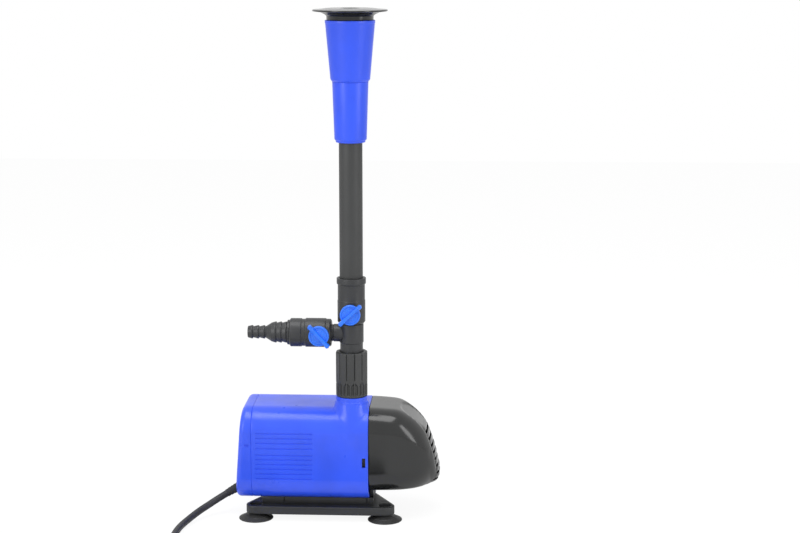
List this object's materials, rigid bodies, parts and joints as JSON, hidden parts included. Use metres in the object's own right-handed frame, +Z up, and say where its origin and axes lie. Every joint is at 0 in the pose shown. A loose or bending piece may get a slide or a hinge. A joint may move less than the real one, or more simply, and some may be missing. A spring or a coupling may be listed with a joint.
{
  "type": "submersible fountain pump",
  "caption": "Submersible fountain pump with louvred intake nose, suction-cup base, valve tee with stepped hose tail, tall riser and water-bell nozzle.",
  "frame": {"origin": "on the floor under the centre of the pump, its cord left out", "axes": "+X towards the intake nose, +Z up along the riser, -Y to the side with the valve knobs"},
  "size_m": [0.2631, 0.274, 0.517],
  "materials": {
    "blue_plastic": "satin moulded, fine sheen",
    "black_plastic": "matte moulded, fine grain",
    "black_gloss_plastic": "semi-gloss moulded",
    "rubber": "matte",
    "cord_rubber": "satin cord sheath",
    "plug_rubber": "matte moulded",
    "tie_plastic": "matte",
    "nickel_pins": "nickel plated",
    "stainless_steel": "brushed",
    "lamination_steel": "stamped laminations",
    "copper_winding": "enamelled wire",
    "potting_resin": "cast resin",
    "shaft_ceramic": "polished ceramic",
    "ferrite_magnet": "ground ferrite",
    "white_plastic": "moulded acetal",
    "sponge": "open-cell filter foam"
  },
  "bodies": {
    "pump": {"base_plate": "black_plastic", "base_screws": "stainless_steel", "chamber_cover": "black_plastic", "chamber_seal": "rubber", "coil_tie": "tie_plastic", "cord": "cord_rubber", "cord_coil": "cord_rubber", "cord_gland": "rubber", "cord_tail": "cord_rubber", "cradle": "black_plastic", "front_bush": "rubber", "housing": "blue_plastic", "lower_winding": "copper_winding", "motor_case": "black_plastic", "outlet_gasket": "rubber", "plug_body": "plug_rubber", "plug_pins": "nickel_pins", "potting_resin": "potting_resin", "rear_bush": "rubber", "rear_cover": "blue_plastic", "rear_cover_screws": "stainless_steel", "rotor_can": "black_plastic", "shaft": "shaft_ceramic", "stator_core": "lamination_steel", "suction_cups": "rubber", "upper_winding": "copper_winding", "volute": "black_plastic"},
    "rotor": {"rotor_magnet": "ferrite_magnet", "rotor_sleeve": "white_plastic", "impeller": "white_plastic"},
    "intake": {"intake_cover": "black_gloss_plastic", "filter_sponge": "sponge"},
    "nut": {"union_nut": "black_plastic"},
    "tee": {"tee": "black_plastic", "riser_valve_body": "black_plastic", "side_valve_body": "black_plastic", "hose_tail": "black_plastic"},
    "riser_cock": {"riser_valve_plug": "white_plastic", "riser_valve_seal": "rubber", "riser_valve_knob": "blue_plastic"},
    "side_cock": {"side_valve_plug": "white_plastic", "side_valve_seal": "rubber", "side_valve_knob": "blue_plastic"},
    "riser": {"riser_tube": "black_plastic", "lower_cone": "blue_plastic", "upper_cone": "blue_plastic"},
    "bell": {"bell_disc": "black_gloss_plastic", "bell_stem": "black_plastic"}
  },
  "joints": [
    {"name": "rotor_spin", "type": "hinge", "parent": "pump", "child": "rotor", "pos_m": [-0.03, 0.00475, 0.0705], "axis": [1, 0, 0], "continuous": true},
    {"name": "intake_cover_slide", "type": "slide", "parent": "pump", "child": "intake", "axis": [1, 0, 0], "range_m": [0, 0.085]},
    {"name": "union_nut_turn", "type": "hinge", "parent": "pump", "child": "nut", "pos_m": [0.0145, -0.01725, 0.15], "axis": [0, 0, 1], "continuous": true},
    {"name": "tee_swivel", "type": "hinge", "parent": "pump", "child": "tee", "pos_m": [0.0145, -0.01725, 0.19], "axis": [0, 0, 1], "continuous": true},
    {"name": "riser_valve_turn", "type": "hinge", "parent": "tee", "child": "riser_cock", "pos_m": [0.0145, -0.01725, 0.2145], "axis": [0, -1, 0], "range_deg": [-42.5, 47.5]},
    {"name": "side_valve_turn", "type": "hinge", "parent": "tee", "child": "side_cock", "pos_m": [-0.0171, -0.01725, 0.1927], "axis": [0, -1, 0], "range_deg": [-42.5, 47.5]},
    {"name": "riser_slide", "type": "slide", "parent": "tee", "child": "riser", "axis": [0, 0, 1], "range_m": [0, 0.02]},
    {"name": "bell_lift", "type": "slide", "parent": "riser", "child": "bell", "axis": [0, 0, 1], "range_m": [0, 0.006]}
  ]
}
